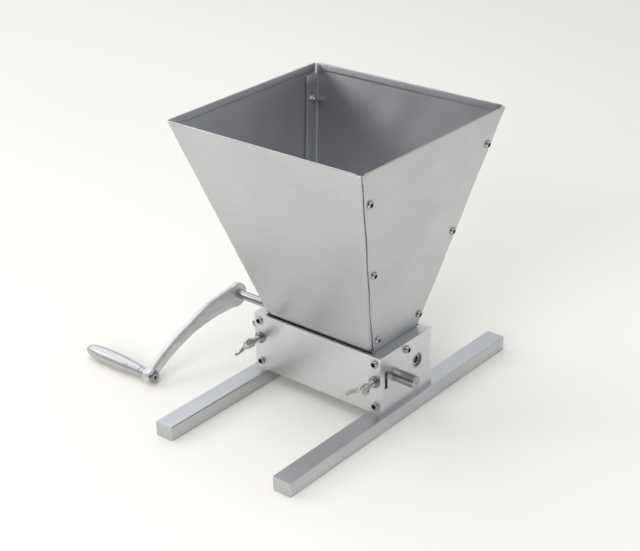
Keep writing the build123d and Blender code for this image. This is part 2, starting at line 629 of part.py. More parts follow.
# ---- every node -------------------------------------------------------------------------------------
NODES = {
    "left_base_bar": base_bar(-1),
    "right_base_bar": base_bar(1),
    "base_screws": base_screws(),
    "left_end_plate": end_plate(-1),
    "right_end_plate": end_plate(1),
    "front_plate": face_plate(-1),
    "back_plate": face_plate(1),
    "front_plate_screws": face_screws(-1),
    "back_plate_screws": face_screws(1),
    "left_drive_bush": drive_bush(-1),
    "right_drive_bush": drive_bush(1),
    "drive_roller": drive_roller(),
    "drive_roller_washers": roller_washers(ROLLER_Y, JOURNAL_RADIUS),
    "idler_roller": idler_roller(),
    "idler_roller_washers": roller_washers(-ROLLER_Y, IDLER_JOURNAL_RADIUS),
    "left_sliding_block": sliding_block(-1),
    "right_sliding_block": sliding_block(1),
    "adjuster_bosses": adjuster_bosses(),
    "left_wing_screw": wing_screw(-1, 52),
    "right_wing_screw": wing_screw(1, 18),
    "hopper_front_panel": hopper_face_panel(-1),
    "hopper_back_panel": hopper_face_panel(1),
    "hopper_left_panel": hopper_side_panel(-1),
    "hopper_right_panel": hopper_side_panel(1),
    "hopper_bolts": hopper_bolts(),
    "hopper_nuts": hopper_nuts(),
    "hopper_mount_screws": mount_screws(),
    "hopper_mount_nuts": mount_nuts(),
    "crank_arm": crank_arm(),
    "crank_set_screw": crank_set_screw(),
    "grip_bolt": grip_bolt(),
    "grip_collar": grip_collar(),
    "grip_ring": grip_ring(),
    "crank_grip": crank_grip(),
}

os.makedirs("parts", exist_ok=True)
for name, shape in NODES.items():
    export_step(shape, f"parts/{name}.step")
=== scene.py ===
from math import ceil, copysign, cos, hypot, pi, radians, sin, sqrt

import bmesh
import bpy
from mathutils import Matrix, Vector


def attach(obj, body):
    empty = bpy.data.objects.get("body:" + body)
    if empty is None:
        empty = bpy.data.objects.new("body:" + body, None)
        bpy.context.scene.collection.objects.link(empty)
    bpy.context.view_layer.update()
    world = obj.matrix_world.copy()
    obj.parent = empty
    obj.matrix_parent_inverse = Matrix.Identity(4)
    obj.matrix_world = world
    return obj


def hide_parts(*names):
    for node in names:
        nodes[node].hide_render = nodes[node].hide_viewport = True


# A two-roller hand grain mill. Lengths below are millimetres in the CAD's frame: X along the
# rollers, -Y the front, +Z up. Meshes are written to Blender in metres.
MM = 0.001
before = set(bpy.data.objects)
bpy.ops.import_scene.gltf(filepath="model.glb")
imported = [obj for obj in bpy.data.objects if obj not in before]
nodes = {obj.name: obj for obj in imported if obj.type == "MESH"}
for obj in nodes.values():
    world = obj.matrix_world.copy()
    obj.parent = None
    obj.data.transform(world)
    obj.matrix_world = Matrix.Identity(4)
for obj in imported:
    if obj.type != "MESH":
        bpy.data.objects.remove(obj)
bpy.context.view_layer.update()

# ---- sizes shared with the CAD ------------------------------------------------------------------
BAR_X = 70.5                  # centre line of a base bar
HALF_WIDTH = 75.0             # half the body's width
FACE_Y = 38.2                 # outside of the front and back plates
AXIS_Z = 47.0                 # height of both rollers' axes
ROLLER_Y = 16.45              # distance of a roller's axis from the middle
ROLLER_RADIUS, ROLLER_HALF = 16.0, 62.0
SCREW_X = 68.5                # face screws and wing screws, from the middle
SHEET = 1.2                   # thickness of the hopper's sheets
FOOT_Z, TOP_Z = 73.6, 274.4   # lower and upper edge of the sloping sheets
FOOT_X, FOOT_Y = 63.4, 34.5   # half sizes of the hopper at its foot
SPREAD_X, SPREAD_Y = 45.1, 66.8     # how far the walls lean out on their way to the rim
SKIRT_X, SKIRT_Y, SKIRT_Z = 62.8, 32.6, 61.0
CRANK_X = -151.5              # plane of the crank arm
GRIP_Y, GRIP_Z = -107.0, 8.0  # axis of the grip
GRIP_START, GRIP_LENGTH = -163.5, 76.0


# ---- materials ------------------------------------------------------------------------------------
def node_setup(name):
    """A new material, its node tree and its shader."""
    made = bpy.data.materials.new(name)
    made.use_nodes = True
    tree = made.node_tree
    return made, tree, tree.nodes["Principled BSDF"]


def add(tree, kind, inputs=None, **settings):
    """One node, with its settings, and its inputs set to values or linked from sockets."""
    node = tree.nodes.new(kind)
    for key, value in settings.items():
        setattr(node, key, value)
    for key, value in (inputs or {}).items():
        if isinstance(value, bpy.types.NodeSocket):
            tree.links.new(value, node.inputs[key])
        else:
            node.inputs[key].default_value = value
    return node


def ramp(tree, source, low, high, out_low, out_high):
    """A number moved from one range to another."""
    node = add(tree, "ShaderNodeMapRange", {"Value": source, "From Min": low, "From Max": high,
                                            "To Min": out_low, "To Max": out_high})
    return node.outputs["Result"]


def math_node(tree, operation, first, second):
    """The result of a sum or product of two numbers or sockets."""
    return add(tree, "ShaderNodeMath", {0: first, 1: second}, operation=operation).outputs[0]


DARKEST, LIGHTEST = 0.90, 1.07      # how far the colour varies
TINT_GAIN = 2.2                     # how strongly grain and smudges move the colour
PIT_SCALE = 900.0
RELIEF_DEPTH = 0.0004               # metres


def metal(name, colour, roughness, grain, fine=0.10, smudge=0.06, bump=0.10, pits=0.0):
    """Metal with brushed or turned grain, uneven polish and slight colour variation.

    grain gives the number of grain lines for each metre along X, Y and Z. fine and smudge are how
    far the grain and the broad smudges move the roughness, bump is the relief's strength, and pits
    adds the small pits of a casting.
    """
    made, tree, shader = node_setup(name)
    place = add(tree, "ShaderNodeTexCoord").outputs["Object"]
    mapped = add(tree, "ShaderNodeMapping", {"Vector": place, "Scale": grain}).outputs["Vector"]
    lines = add(tree, "ShaderNodeTexNoise", {"Vector": mapped, "Scale": 1.0, "Detail": 4.0,
                                             "Roughness": 0.62}).outputs["Fac"]
    broad = add(tree, "ShaderNodeTexNoise", {"Vector": place, "Scale": 14.0, "Detail": 3.0,
                                             "Roughness": 0.55, "Distortion": 0.4}).outputs["Fac"]
    both = math_node(tree, "ADD", ramp(tree, lines, 0.3, 0.7, -fine, fine),
                     ramp(tree, broad, 0.3, 0.7, -smudge, smudge))
    tree.links.new(math_node(tree, "ADD", both, roughness), shader.inputs["Roughness"])
    dark = [c * DARKEST for c in colour] + [1.0]
    light = [min(1.0, c * LIGHTEST) for c in colour] + [1.0]
    shade = math_node(tree, "MULTIPLY", both, TINT_GAIN)
    tint = add(tree, "ShaderNodeMix", {0: ramp(tree, shade, -0.35, 0.35, 1.0, 0.0), 6: dark, 7: light},
               data_type="RGBA").outputs[2]
    tree.links.new(tint, shader.inputs["Base Color"])
    height = lines
    if pits:
        grit = add(tree, "ShaderNodeTexNoise", {"Vector": place, "Scale": PIT_SCALE, "Detail": 2.0})
        spots = ramp(tree, grit.outputs["Fac"], 0.30, 0.55, -pits, 0.0)
        height = math_node(tree, "ADD", lines, spots)
    relief = add(tree, "ShaderNodeBump", {"Height": height, "Strength": bump, "Distance": RELIEF_DEPTH})
    tree.links.new(relief.outputs["Normal"], shader.inputs["Normal"])
    shader.inputs["Metallic"].default_value = 1.0
    return made


ACROSS, ALONG = 1500.0, 25.0        # grain lines for each metre of brushed sheet
PLATE_ACROSS = 1300.0
STAINLESS = (0.555, 0.562, 0.575)
sheet_x = metal("stainless_brushed_along_x", STAINLESS, 0.38, (ALONG, ACROSS, ACROSS),
                fine=0.06, smudge=0.045)
sheet_y = metal("stainless_brushed_along_y", STAINLESS, 0.38, (ACROSS, ALONG, ACROSS),
                fine=0.06, smudge=0.045)
# painted light: the front and back plates get a lighter copy of the end plates' aluminium (0.72 against
# 0.66), so that their faces look as bright as the end plates under these lamps
plate_x_painted_lighter = metal("aluminium_plate_brushed_along_x_painted_lighter", (0.72, 0.727, 0.742), 0.37,
                (ALONG, PLATE_ACROSS, PLATE_ACROSS), fine=0.06, smudge=0.05)
plate_y = metal("aluminium_plate_brushed_along_y", (0.66, 0.667, 0.682), 0.37,
                (PLATE_ACROSS, ALONG, PLATE_ACROSS), fine=0.06, smudge=0.05)
bar_metal = metal("aluminium_bar_extruded", (0.60, 0.61, 0.625), 0.45, (1100, 18, 1100),
                  fine=0.07, bump=0.12)
roller_metal = metal("roller_steel_machined", (0.40, 0.40, 0.41), 0.34, (900, 500, 500),
                     fine=0.12, pits=0.4)
shaft_metal = metal("shaft_steel_ground", (0.42, 0.42, 0.43), 0.28, (500, 60, 60),
                    fine=0.03, bump=0.02)
bearing_metal = metal("bearing_steel_milled", (0.46, 0.46, 0.47), 0.34, (900, 900, 60), fine=0.1)
bolt_metal = metal("bolt_steel_satin", (0.33, 0.325, 0.32), 0.38, (700, 700, 700),
                   fine=0.08, bump=0.05)
boss_metal = metal("boss_steel_plated", (0.30, 0.30, 0.31), 0.36, (700, 700, 700),
                   fine=0.08, bump=0.05)
bright_metal = metal("screw_steel_bright", (0.50, 0.50, 0.515), 0.30, (700, 700, 700),
                     fine=0.08, bump=0.05)
# painted shade: near-black colour for the faces deep inside screw sockets, standing in for the shadow there
socket_shade_metal = metal("socket_painted_shade", (0.045, 0.045, 0.05), 0.34, (700, 700, 700),
                    fine=0.08, bump=0.05)
wing_metal = metal("wing_screw_cast_plated", (0.60, 0.59, 0.575), 0.28, (500, 500, 500),
                   fine=0.06, bump=0.10, pits=0.3)
crank_metal = metal("crank_alloy_brushed_casting", (0.735, 0.74, 0.75), 0.60, (900, 60, 260),
                    fine=0.10, smudge=0.09, bump=0.22, pits=0.6)
grip_metal = metal("grip_alloy_polished", (0.58, 0.585, 0.59), 0.46, (900, 60, 60),
                   fine=0.03, bump=0.02)


# ---- mesh helpers ---------------------------------------------------------------------------------
STAY = Matrix.Identity(4)


class Build:
    """Collects points and faces of several shells for one piece.

    dark lists the faces inside sockets, which get a near-black colour: painted shade for the shadow deep in
    a socket.
    """

    def __init__(self):
        self.points = []
        self.faces = []
        self.dark = []

    def add_points(self, points, placed):
        """Adds points, moved to their place, and returns the number of the first."""
        first = len(self.points)
        self.points.extend(placed @ Vector(p) for p in points)
        return first

    def add_band(self, lower, upper, count):
        """Faces between two rings, each given by the number of its first point."""
        for k in range(count):
            after = (k + 1) % count
            self.faces.append((lower + k, lower + after, upper + after, upper + k))

    def tube(self, rings, start, end, placed=STAY):
        """Joins equal rings of points, and closes both ends with a fan of faces to a point."""
        count = len(rings[0])
        first = self.add_points([p for ring in rings for p in ring], placed)
        last = first + (len(rings) - 1) * count
        for lower in range(first, last, count):
            self.add_band(lower, lower + count, count)
        tip = self.add_points([start], placed)
        self.faces.extend((first + (k + 1) % count, first + k, tip) for k in range(count))
        tip = self.add_points([end], placed)
        self.faces.extend((last + k, last + (k + 1) % count, tip) for k in range(count))

    def closed_tube(self, rings, placed):
        """A ring-shaped shell: the last ring joins the first."""
        count = len(rings[0])
        first = self.add_points([p for ring in rings for p in ring], placed)
        for row in range(len(rings)):
            after = (row + 1) % len(rings)
            self.add_band(first + row * count, first + after * count, count)


def piece(build, name, body, material, replaced=(), smooth_angle=30):
    """A mesh piece from a build in millimetres, which rides on a body and stands for CAD nodes."""
    mesh = bpy.data.meshes.new(name)
    scale = Matrix.Scale(MM, 4)
    mesh.from_pydata([scale @ Vector(p) for p in build.points], [], build.faces)
    mesh.validate()
    made = bmesh.new()
    made.from_mesh(mesh)
    bmesh.ops.recalc_face_normals(made, faces=made.faces)
    made.to_mesh(mesh)
    made.free()
    mesh.polygons.foreach_set("use_smooth", [True] * len(mesh.polygons))
    mesh.set_sharp_from_angle(angle=radians(smooth_angle))
    obj = bpy.data.objects.new(name, mesh)
    bpy.context.scene.collection.objects.link(obj)
    mesh.materials.append(material)
    # faces on the dark list get the near-black socket colour, painted shade for the shadow in a socket
    if build.dark:
        mesh.materials.append(socket_shade_metal)
        for index in build.dark:
            mesh.polygons[index].material_index = 1
    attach(obj, body)
    if replaced:
        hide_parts(*replaced)
    return obj


def circle(radius, height, count=48):
    """Points round a circle about Z."""
    angles = [2 * pi * k / count for k in range(count)]
    return [(radius * cos(angle), radius * sin(angle), height) for angle in angles]


def hexagon(flats, height, count=48):
    """Points round a hexagon, at the same angles as a circle's."""
    ring = []
    for k in range(count):
        angle = 2 * pi * k / count
        offset = (angle + pi / 6) % (pi / 3) - pi / 6
        reach = flats / 2 / cos(offset)
        ring.append((reach * cos(angle), reach * sin(angle), height))
    return ring


def aim(point, direction, turn=0.0):
    """Matrix whose own Z looks along the direction, at the point."""
    facing = Vector(direction).to_track_quat("Z", "Y").to_matrix().to_4x4()
    return Matrix.Translation(Vector(point)) @ facing @ Matrix.Rotation(turn, 4, "Z")


def lathe(build, profile, placed, count=64):
    """Closed turned shape from (height, radius) pairs; the two end points lie on the axis."""
    rings = [circle(radius, height, count) for height, radius in profile[1:-1]]
    build.tube(rings, (0, 0, profile[0][0]), (0, 0, profile[-1][0]), placed)


def disc(radius, low, high):
    """Profile of a plain cylinder, for lathe."""
    return [(low, 0), (low, radius), (high, radius), (high, 0)]


def rounded(corner, size, before, after, steps=4):
    """Points of a small fillet at a profile corner, between the directions to its neighbours."""
    corner = Vector(corner)
    start = corner + (Vector(before) - corner).normalized() * size
    end = corner + (Vector(after) - corner).normalized() * size
    out = []
    for k in range(steps + 1):
        t = k / steps
        p = start * (1 - t) ** 2 + corner * 2 * t * (1 - t) + end * t ** 2
        out.append((p.x, p.y))
    return out


def soft_profile(points, size):
    """A profile with every corner between its ends rounded a little."""
    out = [points[0]]
    for k in range(1, len(points) - 1):
        out.extend(rounded(points[k], size, points[k - 1], points[k + 1]))
    out.append(points[-1])
    return out


def between_knots(knots, k, f):
    """Point on a smooth curve through the knots, a fraction f of the way from knot k to the next."""
    last = len(knots) - 1
    a, b, c, d = (Vector(knots[max(0, min(last, k + step))]) for step in (-1, 0, 1, 2))
    return 0.5 * (2 * b + (c - a) * f + (2 * a - 5 * b + 4 * c - d) * f * f
                  + (3 * b - a - 3 * c + d) * f ** 3)


def soften_edges(obj, width, segments):
    """Rounds an object's sharp edges."""
    edge = obj.modifiers.new("edge", "BEVEL")
    edge.width = width * MM
    edge.segments = segments
    edge.limit_method = "ANGLE"
    edge.angle_limit = radians(50)


def cast_together(obj, voxel, passes):
    """Melts overlapping shells into one casting with fillets."""
    blend = obj.modifiers.new("casting", "REMESH")
    blend.mode = "VOXEL"
    blend.voxel_size = voxel * MM
    blend.use_smooth_shade = True
    melt = obj.modifiers.new("fillets", "SMOOTH")
    melt.factor = 0.6
    melt.iterations = passes


# ---- screws and nuts ------------------------------------------------------------------------------
# head and shank are radii, height is the head's, socket and flats are widths across the flats
FACE_SCREW = {"head": 3.9, "height": 2.3, "shank": 2.5, "length": 9.0, "socket": 4.0}
CORNER_SCREW = {"head": 3.7, "height": 2.2, "shank": 2.0, "length": 3.2, "socket": 3.6}
FIXING_SCREW = {"head": 3.7, "height": 3.4, "shank": 2.5, "length": 16.0, "socket": 3.6}
BASE_SCREW = {"head": 5.0, "height": 3.0, "shank": 2.5, "length": 24.0, "socket": 3.0}
CORNER_NUT = {"flats": 7.0, "height": 3.0, "bore": 2.0, "proud": 1.4}
NUT_THREAD_PITCH = 0.7

FACE_SCREW_HEIGHTS = (22.0, 65.0)
CORNER_SCREW_HEIGHTS = (0.06, 0.45, 0.84)     # as fractions of the wall's height
CORNER_SCREW_EDGE = 8.0                       # from the wall's edge
FIXING_SCREW_Z, FIXING_SCREW_TURN = 65.5, 0.5
BASE_SCREW_Y, BASE_SEAT_Z = 17.0, 4.0
SCREW_TURNS = (0.1, 0.9, 0.4, 1.3, 0.7, 0.2, 1.1, 0.5, 1.6, 0.3, 0.8, 1.2)    # radians, a screw each


def button_screw(build, placed, head, height, shank, length, socket, dark_socket=True):
    """Domed head with a hexagon socket, washer-like rim and a plain shank.

    dark_socket puts the faces inside the socket on the build's list of dark ones, which get the near-black
    painted shade.
    """
    rim, crown = 0.45, head * 0.60      # height of the dome's foot, and radius of its flat top
    floor_z = height * 0.25             # of the socket
    rings = [circle(shank, -length), circle(shank, 0.0), circle(head - 0.2, 0.0), circle(head, 0.18),
             circle(head, rim)]
    for k in range(1, 8):
        t = k / 7 * pi / 2
        rings.append(circle(crown + (head - crown) * cos(t), rim + (height - rim) * sin(t)))
    rings.append(circle(socket / 2 * 1.24, height))
    rings.append(hexagon(socket * 1.05, height - 0.12))
    rings.append(hexagon(socket, height - 0.30))
    rings.append(hexagon(socket, floor_z))
    count = len(rings[0])
    before = len(build.faces)
    build.tube(rings, (0, 0, -length), (0, 0, floor_z - 0.5), placed)
    # the socket's walls and floor go on the dark list, for the near-black painted shade
    if dark_socket:
        wall = before + (len(rings) - 3) * count
        build.dark.extend(range(wall, wall + 2 * count))
        build.dark.extend(range(len(build.faces) - count, len(build.faces)))


def chamfered_hexagon(flats, crown, height, slope):
    """A nut's edge ring, which falls away from its face outside the crown circle."""
    ring = []
    for x, y, _ in hexagon(flats, 0):
        ring.append((x, y, height - slope * max(0.0, hypot(x, y) - crown)))
    return ring


def nut_with_end(build, placed, flats, height, bore, proud):
    """Chamfered hexagon nut with the screw's threaded end standing out of it."""
    crown = flats / 2 * 0.96
    slope = 0.577                 # a chamfer of 30 degrees
    rings = [circle(bore + 0.5, 0), circle(crown, 0), chamfered_hexagon(flats, crown, 0, -slope),
             chamfered_hexagon(flats, crown, height, slope), circle(crown, height),
             circle(bore + 0.55, height), circle(bore + 0.05, height - 0.5), circle(bore + 0.05, 0.5)]
    build.closed_tube(rings, placed)
    threaded_rod(build, placed, bore, -0.2, height + proud, NUT_THREAD_PITCH)


def threaded_rod(build, placed, radius, z_from, z_to, pitch, count=24):
    """Rod with a real helical thread and a chamfered far end."""
    depth = 0.55 * pitch
    run_out = 1.2 * pitch         # length over which the thread fades at the far end
    steps = max(2, ceil((z_to - z_from) / pitch * 4))
    rings = []
    for row in range(steps + 1):
        z = z_from + (z_to - z_from) * row / steps
        fade = min(1.0, max(0.0, (z_to - z) / run_out))
        ring = []
        for k in range(count):
            angle = 2 * pi * k / count
            phase = (z / pitch - k / count) % 1.0
            dip = depth * abs(2 * phase - 1)
            reach = radius - depth * (1 - fade) * 0.9 - dip * fade
            ring.append((reach * cos(angle), reach * sin(angle), z))
        rings.append(ring)
    build.tube(rings, (0, 0, z_from), (0, 0, z_to), placed)


def face_screws(name, front, node):
    """Four screws at the corners of the front or back plate."""
    build = Build()
    places = [(side * SCREW_X, z) for side in (-1, 1) for z in FACE_SCREW_HEIGHTS]
    for turn, (x, z) in zip(SCREW_TURNS, places):
        button_screw(build, aim((x, front * FACE_Y, z), (0, front, 0), turn), **FACE_SCREW)
    piece(build, name, "frame", bright_metal, [node])


def wall_normal(axis, side):
    """Outward normal of a sloping hopper wall that faces along X or Y."""
    run = SPREAD_X if axis == "x" else SPREAD_Y
    rise = TOP_Z - FOOT_Z
    length = hypot(run, rise)
    if axis == "x":
        return Vector((side * rise / length, 0, -run / length))
    return Vector((0, side * rise / length, -run / length))


def corner_screws():
    """Screws down the edges of the side walls, each with a nut inside on the face wall's flange."""
    bolts, nuts = Build(), Build()
    places = [(side, height, front) for side in (-1, 1) for height in CORNER_SCREW_HEIGHTS
              for front in (-1, 1)]
    for turn, (side, height, front) in zip(SCREW_TURNS, places):
        normal = wall_normal("x", side)
        point = Vector((side * (FOOT_X + height * SPREAD_X),
                        front * (FOOT_Y + height * SPREAD_Y - CORNER_SCREW_EDGE),
                        FOOT_Z + height * (TOP_Z - FOOT_Z)))
        button_screw(bolts, aim(point, normal, turn), **CORNER_SCREW)
        nut_with_end(nuts, aim(point - normal * 2 * SHEET, -normal, turn), **CORNER_NUT)
    piece(bolts, "hopper_corner_screws", "frame", bright_metal, ["hopper_bolts"])
    piece(nuts, "hopper_corner_nuts", "frame", bright_metal, ["hopper_nuts"])


def fixing_screws():
    """One screw high in each end plate, which holds the hopper."""
    build = Build()
    for side in (-1, 1):
        seat = aim((side * HALF_WIDTH, 0, FIXING_SCREW_Z), (side, 0, 0), FIXING_SCREW_TURN)
        button_screw(build, seat, **FIXING_SCREW)
    piece(build, "hopper_fixing_screws", "frame", bright_metal, ["hopper_mount_screws"])


def base_screws():
    """Two screws up through each bar; front and back ones stand at different turns."""
    build = Build()
    for side in (-1, 1):
        for y in (-BASE_SCREW_Y, BASE_SCREW_Y):
            button_screw(build, aim((side * BAR_X, y, BASE_SEAT_Z), (0, 0, -1), turn=y), **BASE_SCREW)
    piece(build, "base_button_screws", "frame", bright_metal, ["base_screws"])


face_screws("front_button_screws", -1, "front_plate_screws")
face_screws("back_button_screws", 1, "back_plate_screws")
corner_screws()
fixing_screws()
base_screws()


# ---- hopper ---------------------------------------------------------------------------------------
BEND = 2.0                    # outside radius of a bend
BEND_STEPS = 5
BEHIND = 1.7                  # how far the flanges stand behind the side walls' outside
FLANGE = 17.0
FLANGE_STOP = 3.0             # the flanges end this far below the fold
SEAM = 2.2                    # how far the side walls stop short of the face walls
HEM_HALF = 0.8                # half the thickness of the folded rim
HEM_RISE = 0.8                # height of the fold's rounded part
HEM_STEPS = 12
HEM_DEPTH = 6.2
FACE_HEM_SHORT = 1.2          # how far the folds stop short of the walls' ends
SIDE_HEM_SHORT = 1.7
RIM_Z = TOP_Z - 0.4           # the fold leans inwards, which lifts its inner side to the top
WALL_ROWS = 24
FACE_COLUMNS, SIDE_COLUMNS = 36, 40
SKIRT_MIDDLE_Z = 66.0
SIDE_SKIRT_Z = 64.0
SKIRT_TOP_Z = FOOT_Z - 1.6
SKIRT_ROOM = 0.6              # air between the skirts at their corners
FACE_LEDGE_Z, FACE_LEDGE_OUT = FOOT_Z - 0.6, 0.5
SIDE_LEDGE_Z, SIDE_LEDGE_OUT = FOOT_Z - 0.8, 0.2
SHEET_EDGE = 0.22             # rounding of the sheets' cut edges


def climb(z):
    """How far up the wall a height is: 0 at the foot and below it, 1 at the top."""
    return max(0.0, (z - FOOT_Z) / (TOP_Z - FOOT_Z))


def wave(u, v, seed):
    """Gentle unevenness of sheet metal, in millimetres, zero on average."""
    return (0.16 * sin(3.1 * u + 2.3 * v + seed) + 0.12 * sin(5.3 * u - 4.1 * v + 1.7 * seed)
            + 0.07 * sin(9.7 * u + 7.9 * v + 2.9 * seed))


def swell(along, z, share, seed):
    """Unevenness of a wall, which fades towards the edges, the foot and the top.

    along is the place across the wall, and share is that place as a fraction of the half width.
    """
    t = climb(z)
    calm = min(1.0, 7 * t, 7 * max(0.0, 0.985 - t))
    return wave(along / 40, z / 60, seed) * (1 - abs(share) ** 6) * calm


def wall_rows():
    """Rows of a hopper wall from its foot to the end of its fold.

    Each row gives the kind of row, the height, and how far the outside lies inwards of the wall's plane.
    """
    bend_z = RIM_Z - HEM_RISE
    rows = [("wall", FOOT_Z + (bend_z - FOOT_Z) * k / WALL_ROWS, 0.0) for k in range(WALL_ROWS + 1)]
    for k in range(1, HEM_STEPS + 1):
        angle = pi * k / HEM_STEPS
        rows.append(("hem", bend_z + HEM_RISE * sin(angle), HEM_HALF * (1 - cos(angle))))
    for k in range(1, 4):
        rows.append(("hem", bend_z - HEM_DEPTH * k / 3, 2 * HEM_HALF))
    return rows


def sheet_piece(name, grid, outward, node, material, used=None):
    """A sheet with real thickness from a grid of points on its outside.

    used tells which cells of the grid are there, and without it all are.
    """
    build = Build()
    index = {}
    for r in range(len(grid) - 1):
        for c in range(len(grid[0]) - 1):
            if used and not used(r, c):
                continue
            corners = ((r, c), (r, c + 1), (r + 1, c + 1), (r + 1, c))
            for row, column in corners:
                if (row, column) not in index:
                    index[row, column] = len(build.points)
                    build.points.append(grid[row][column])
            build.faces.append([index[corner] for corner in corners])
    obj = piece(build, name, "frame", material, [node], 40)
    thicken(obj, outward)


def thicken(obj, outward):
    """Gives a sheet its thickness on its inner side, and small rounded edges."""
    mesh = obj.data
    middle = len(mesh.polygons) // 2
    if mesh.polygons[middle].normal.dot(outward) < 0:
        mesh.flip_normals()
    solid = obj.modifiers.new("thickness", "SOLIDIFY")
    solid.thickness = SHEET * MM
    solid.offset = -1.0
    solid.use_even_offset = True
    soften_edges(obj, SHEET_EDGE, 2)


def flange_plan(half_x, half_y):
    """Half of a face wall's flange and bend seen from above, from its free edge to the face."""
    plan = [(half_x, half_y - depth) for depth in (FLANGE, 0.7 * FLANGE, 1.7 * BEND, BEND)]
    for k in range(1, BEND_STEPS):
        angle = pi / 2 * k / BEND_STEPS
        plan.append((half_x - BEND + BEND * cos(angle), half_y - BEND + BEND * sin(angle)))
    return plan


def face_wall(name, front, node):
    """Front or back wall: skirt, sloping sheet with bent flanges, rolled hem."""
    outward = wall_normal("y", front)
    rows = [("skirt", SKIRT_Z, 0.0), ("skirt", SKIRT_MIDDLE_Z, 0.0), ("skirt", SKIRT_TOP_Z, 0.0),
            ("ledge", FACE_LEDGE_Z, 0.0)] + wall_rows()
    grid = []
    for kind, z, inward in rows:
        half_x = FOOT_X + climb(z) * SPREAD_X - BEHIND
        half_y = FOOT_Y + climb(z) * SPREAD_Y
        if kind in ("skirt", "ledge"):
            main = SKIRT_X - SHEET - SKIRT_ROOM
            depth = SKIRT_Y if kind == "skirt" else SKIRT_Y + FACE_LEDGE_OUT
        else:
            main = half_x - BEND - (FACE_HEM_SHORT if kind == "hem" else 0.0)
            depth = half_y
        flange = flange_plan(half_x, half_y)
        plan = [(-x, y) for x, y in flange]
        plan += [(-main + 2 * main * k / FACE_COLUMNS, depth) for k in range(FACE_COLUMNS + 1)]
        plan += reversed(flange)
        line = []
        for x, y in plan:
            bulge = swell(x, z, x / (half_x + BEHIND), 1.0 + front) if kind == "wall" else 0.0
            line.append(Vector((x, front * y, z)) + outward * bulge - outward * inward)
        grid.append(line)
    bent = len(flange)
    last = len(grid[0]) - 1

    def used(r, c):
        """The wall has bends all the way and flanges up to the fold; skirt and fold have neither."""
        if rows[r][0] == "wall" and rows[r + 1][0] == "wall":
            flanged = rows[r + 1][1] < TOP_Z - HEM_DEPTH - FLANGE_STOP
            return flanged or bent - BEND_STEPS <= c < last - bent + BEND_STEPS
        return bent <= c < last - bent

    sheet_piece(name, grid, outward, node, sheet_x, used)


def side_wall(name, side, node):
    """Left or right wall: skirt, flat sloping sheet, rolled hem between the flanges."""
    outward = wall_normal("x", side)
    rows = [("skirt", SIDE_SKIRT_Z, 0.0), ("skirt", SKIRT_TOP_Z, 0.0),
            ("ledge", SIDE_LEDGE_Z, 0.0)] + wall_rows()
    grid = []
    for kind, z, inward in rows:
        if kind in ("skirt", "ledge"):
            half_y = SKIRT_Y - SHEET - SKIRT_ROOM
            half_x = SKIRT_X if kind == "skirt" else SKIRT_X + SIDE_LEDGE_OUT
        else:
            half_y = FOOT_Y + climb(z) * SPREAD_Y - SEAM - (SIDE_HEM_SHORT if kind == "hem" else 0.0)
            half_x = FOOT_X + climb(z) * SPREAD_X
        ragged = 0.35 * sin(z / 9.0 + side) + 0.25 * sin(z / 23.0 + 2 * side)
        line = []
        for k in range(SIDE_COLUMNS + 1):
            share = -1 + 2 * k / SIDE_COLUMNS
            y = share * half_y
            bulge = 0.0
            if kind == "wall":
                y += share ** 9 * ragged
                bulge = swell(y, z, share, 3.0 + side)
            line.append(Vector((side * half_x, y, z)) + outward * bulge - outward * inward)
        grid.append(line)
    sheet_piece(name, grid, outward, node, sheet_y)


face_wall("hopper_front_sheet", -1, "hopper_front_panel")
side_wall("hopper_left_sheet", -1, "hopper_left_panel")
face_wall("hopper_back_sheet", 1, "hopper_back_panel")
side_wall("hopper_right_sheet", 1, "hopper_right_panel")


# ---- rollers --------------------------------------------------------------------------------------
KNURL_ROUND, KNURL_PITCH, KNURL_DEPTH = 72, 1.5, 0.32
KNURL_STEPS = 4               # points for each knurl round the barrel
GROOVES, GROOVE_HALF, GROOVE_DEPTH = 24, 1.0, 0.75
BARREL_BEVEL, BARREL_BEVEL_LENGTH = 0.9, 1.2

CORE_X = ROLLER_HALF - 0.5    # the shafts start inside the barrels
JOURNAL, IDLER_JOURNAL, STUB, CRANK_SHAFT = 6.0, 6.5, 6.0, 4.5     # radii
SHAFT_CHAMFER = 0.8
LEFT_JOURNAL_END = -76.0
RIGHT_JOURNAL_END, RIGHT_JOURNAL_CHAMFER = 73.5, 0.6
CENTRE_HOLE, CENTRE_HOLE_FLOOR, CENTRE_HOLE_TIP = 3.4, 68.6, 67.5
IDLER_SHOULDER = HALF_WIDTH + 0.3
LEFT_STUB_END, RIGHT_STUB_END = -94.0, 98.5
STUB_CENTRE, STUB_CENTRE_DEPTH = 1.6, 1.3


def barrel_rings():
    """Knurled barrel with feed grooves along it, as rings along X."""
    around = KNURL_ROUND * KNURL_STEPS
    steps = int(2 * ROLLER_HALF / KNURL_PITCH * KNURL_STEPS / 2)
    rings = []
    for row in range(steps + 1):
        x = -ROLLER_HALF + 2 * ROLLER_HALF * row / steps
        edge = min(1.0, (ROLLER_HALF - abs(x)) / BARREL_BEVEL_LENGTH)
        ring = []
        for k in range(around):
            turn = k / around
            a = (turn * KNURL_ROUND + x / KNURL_PITCH / 2) % 1.0
            b = (turn * KNURL_ROUND - x / KNURL_PITCH / 2) % 1.0
            dip = KNURL_DEPTH * max(abs(2 * a - 1), abs(2 * b - 1)) ** 2
            from_groove = abs((turn * GROOVES) % 1.0 - 0.5) * 2 * pi * ROLLER_RADIUS / GROOVES
            groove = 0.0
            if from_groove < GROOVE_HALF:
                groove = GROOVE_DEPTH * sqrt(1 - (from_groove / GROOVE_HALF) ** 2)
            reach = ROLLER_RADIUS - BARREL_BEVEL * (1 - edge) - max(dip * edge, groove)
            ring.append((reach * cos(2 * pi * turn), reach * sin(2 * pi * turn), x))
        rings.append(ring)
    return rings


